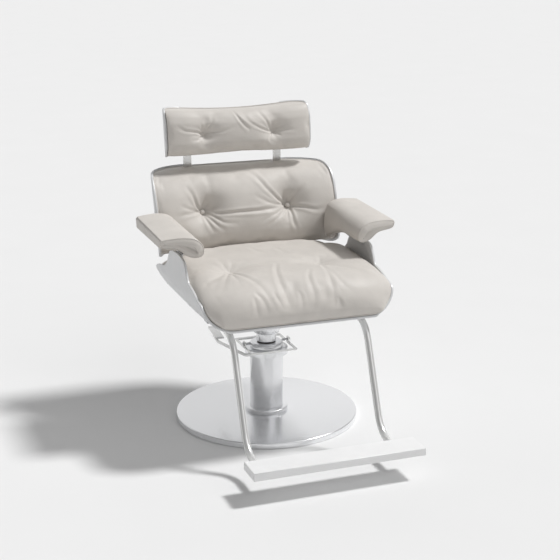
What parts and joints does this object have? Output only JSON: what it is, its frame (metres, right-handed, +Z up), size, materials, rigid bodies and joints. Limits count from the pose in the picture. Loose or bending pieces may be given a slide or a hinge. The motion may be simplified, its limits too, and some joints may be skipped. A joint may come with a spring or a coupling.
{
  "type": "hydraulic barber chair",
  "caption": "Hydraulic barber chair: tufted leather cushions in bent shells on a round base, with pump pedal, swivel seat, sliding headrest and bar footrest.",
  "frame": {"origin": "centre of the round base's underside, on the floor", "axes": "+Z up, the sitter faces -Y, +X is at the sitter's left hand"},
  "size_m": [0.776, 1.01, 0.992],
  "materials": {
    "brushed_steel": "fine brushed, satin",
    "satin_chrome": "satin chrome plate",
    "steel": "zinc plated",
    "cast_iron": "as cast, painted",
    "bronze": "machined bearing bronze",
    "shell_lacquer": "moulded shell with silver-white satin lacquer",
    "board_white": "white satin powder coat",
    "leather": "soft warm grey leather, fine grain",
    "black_rubber": "matt"
  },
  "bodies": {
    "base": {"floor_mat": "black_rubber", "base_plate": "cast_iron", "base_cover": "brushed_steel", "base_bolt_1": "steel", "base_bolt_2": "steel", "base_bolt_3": "steel", "base_bolt_4": "steel", "foot_ring": "brushed_steel", "pump_column": "brushed_steel", "inner_cylinder": "steel", "pump_collar": "brushed_steel", "pump_head": "brushed_steel", "guide_bush": "bronze", "wiper_ring": "black_rubber", "pump_block": "brushed_steel", "yoke_pin_left": "steel", "yoke_pin_right": "steel", "plunger_spring": "steel"},
    "plunger": {"pump_plunger": "steel"},
    "pedal": {"pedal_yoke": "satin_chrome", "pedal_rod": "satin_chrome", "pedal_plate": "satin_chrome"},
    "lift": {"ram": "satin_chrome", "ram_piston": "steel", "piston_seal": "black_rubber", "thrust_bearing": "steel", "spindle_nut": "steel"},
    "seat": {"swivel_hub": "brushed_steel", "mount_plate": "steel", "front_crossbar": "steel", "rear_crossbar": "steel", "front_shock_mount_left": "black_rubber", "front_shock_mount_right": "black_rubber", "rear_shock_mount_left": "black_rubber", "rear_shock_mount_right": "black_rubber", "seat_shell": "shell_lacquer", "seat_cushion": "leather", "back_shell": "shell_lacquer", "back_cushion": "leather", "back_button_left": "leather", "back_button_right": "leather", "back_brace_left": "brushed_steel", "back_brace_right": "brushed_steel", "back_pad_left": "black_rubber", "back_pad_right": "black_rubber", "post_guide_left": "steel", "post_guide_right": "steel", "armrest_left": "leather", "armrest_right": "leather", "arm_bracket_left": "steel", "arm_bracket_right": "steel", "footrest_tube_left": "satin_chrome", "footrest_tube_right": "satin_chrome", "tube_saddle_left": "steel", "tube_saddle_right": "steel", "footrest_board": "board_white"},
    "headrest": {"headrest_post_left": "satin_chrome", "headrest_post_right": "satin_chrome", "headrest_shell": "shell_lacquer", "headrest_cushion": "leather"}
  },
  "joints": [
    {"name": "seat_lift", "type": "slide", "parent": "base", "child": "lift", "axis": [0, 0, 1], "range_m": [0, 0.15]},
    {"name": "seat_turn", "type": "hinge", "parent": "lift", "child": "seat", "pos_m": [0, 0, 0.3], "axis": [0, 0, 1], "continuous": true},
    {"name": "pedal_press", "type": "hinge", "parent": "base", "child": "pedal", "pos_m": [0, 0, 0.253], "axis": [-1, 0, 0], "range_deg": [0, 15], "stiffness_Nm_per_rad": 3, "springref_deg": -22.92},
    {"name": "plunger_travel", "type": "slide", "parent": "base", "child": "plunger", "axis": [0, 0, -1], "range_m": [0, 0.0245], "deforming": ["plunger_spring"]},
    {"name": "headrest_height", "type": "slide", "parent": "seat", "child": "headrest", "axis": [0, 0.303, 0.953], "range_m": [0, 0.06]}
  ],
  "couplings": [
    {"joint": "plunger_travel", "follows": "pedal_press", "m_per_rad": 0.092}
  ]
}
